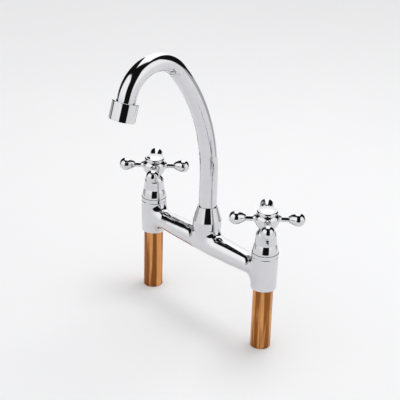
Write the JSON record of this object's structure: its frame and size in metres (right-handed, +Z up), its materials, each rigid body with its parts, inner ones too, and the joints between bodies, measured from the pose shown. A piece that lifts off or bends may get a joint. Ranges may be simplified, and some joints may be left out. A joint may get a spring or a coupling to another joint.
{
  "type": "bridge kitchen faucet",
  "caption": "Deck-mounted bridge mixer with a swan-neck swivel spout, pear-armed cross handles on ceramic quarter-turn valves, and copper tails.",
  "frame": {"origin": "on the deck's surface, midway between the axes of the two pillars", "axes": "+Z up along the pillars and the upright spout; +X along the bridge from the hot to the cold pillar; the spout reaches towards -Y when it points straight out"},
  "size_m": [0.2414, 0.1668, 0.3291],
  "materials": {
    "chrome": "polished chrome plate on brass",
    "copper": "bright drawn copper pipe",
    "brass": "machined, unplated",
    "ceramic": "lapped white alumina, opaque",
    "rubber": "moulded, matt black",
    "acetal": "white acetal",
    "fibre": "red vulcanised fibre",
    "steel": "stainless, bright"
  },
  "bodies": {
    "bridge": {"bridge_body": "chrome", "spout_nut": "chrome", "lower_bearing": "acetal", "upper_bearing": "acetal", "hot_tail": "copper", "hot_valve_seal": "rubber", "hot_fixed_disc": "ceramic", "hot_valve_housing": "brass", "hot_housing_washer": "fibre", "hot_bonnet": "chrome", "cold_tail": "copper", "cold_valve_seal": "rubber", "cold_fixed_disc": "ceramic", "cold_valve_housing": "brass", "cold_housing_washer": "fibre", "cold_bonnet": "chrome"},
    "spout": {"spout_foot": "brass", "foot_rings": "rubber", "spout_tube": "chrome", "outlet_sleeve": "chrome", "aerator_washer": "rubber", "aerator_shell": "chrome", "aerator_insert": "acetal", "aerator_screen": "steel"},
    "hot_handle": {"hot_moving_disc": "ceramic", "hot_spindle": "brass", "hot_spindle_rings": "rubber", "hot_spindle_clip": "steel", "hot_cross_handle": "chrome", "hot_handle_screw": "brass", "hot_cap": "chrome"},
    "cold_handle": {"cold_moving_disc": "ceramic", "cold_spindle": "brass", "cold_spindle_rings": "rubber", "cold_spindle_clip": "steel", "cold_cross_handle": "chrome", "cold_handle_screw": "brass", "cold_cap": "chrome"}
  },
  "joints": [
    {"name": "spout_swivel", "type": "hinge", "parent": "bridge", "child": "spout", "pos_m": [0, 0, 0.05], "axis": [0, 0, 1], "continuous": true},
    {"name": "hot_handle_turn", "type": "hinge", "parent": "bridge", "child": "hot_handle", "pos_m": [-0.09, 0, 0.08195], "axis": [0, 0, 1], "range_deg": [0, 90]},
    {"name": "cold_handle_turn", "type": "hinge", "parent": "bridge", "child": "cold_handle", "pos_m": [0.09, 0, 0.08195], "axis": [0, 0, -1], "range_deg": [0, 90]}
  ]
}
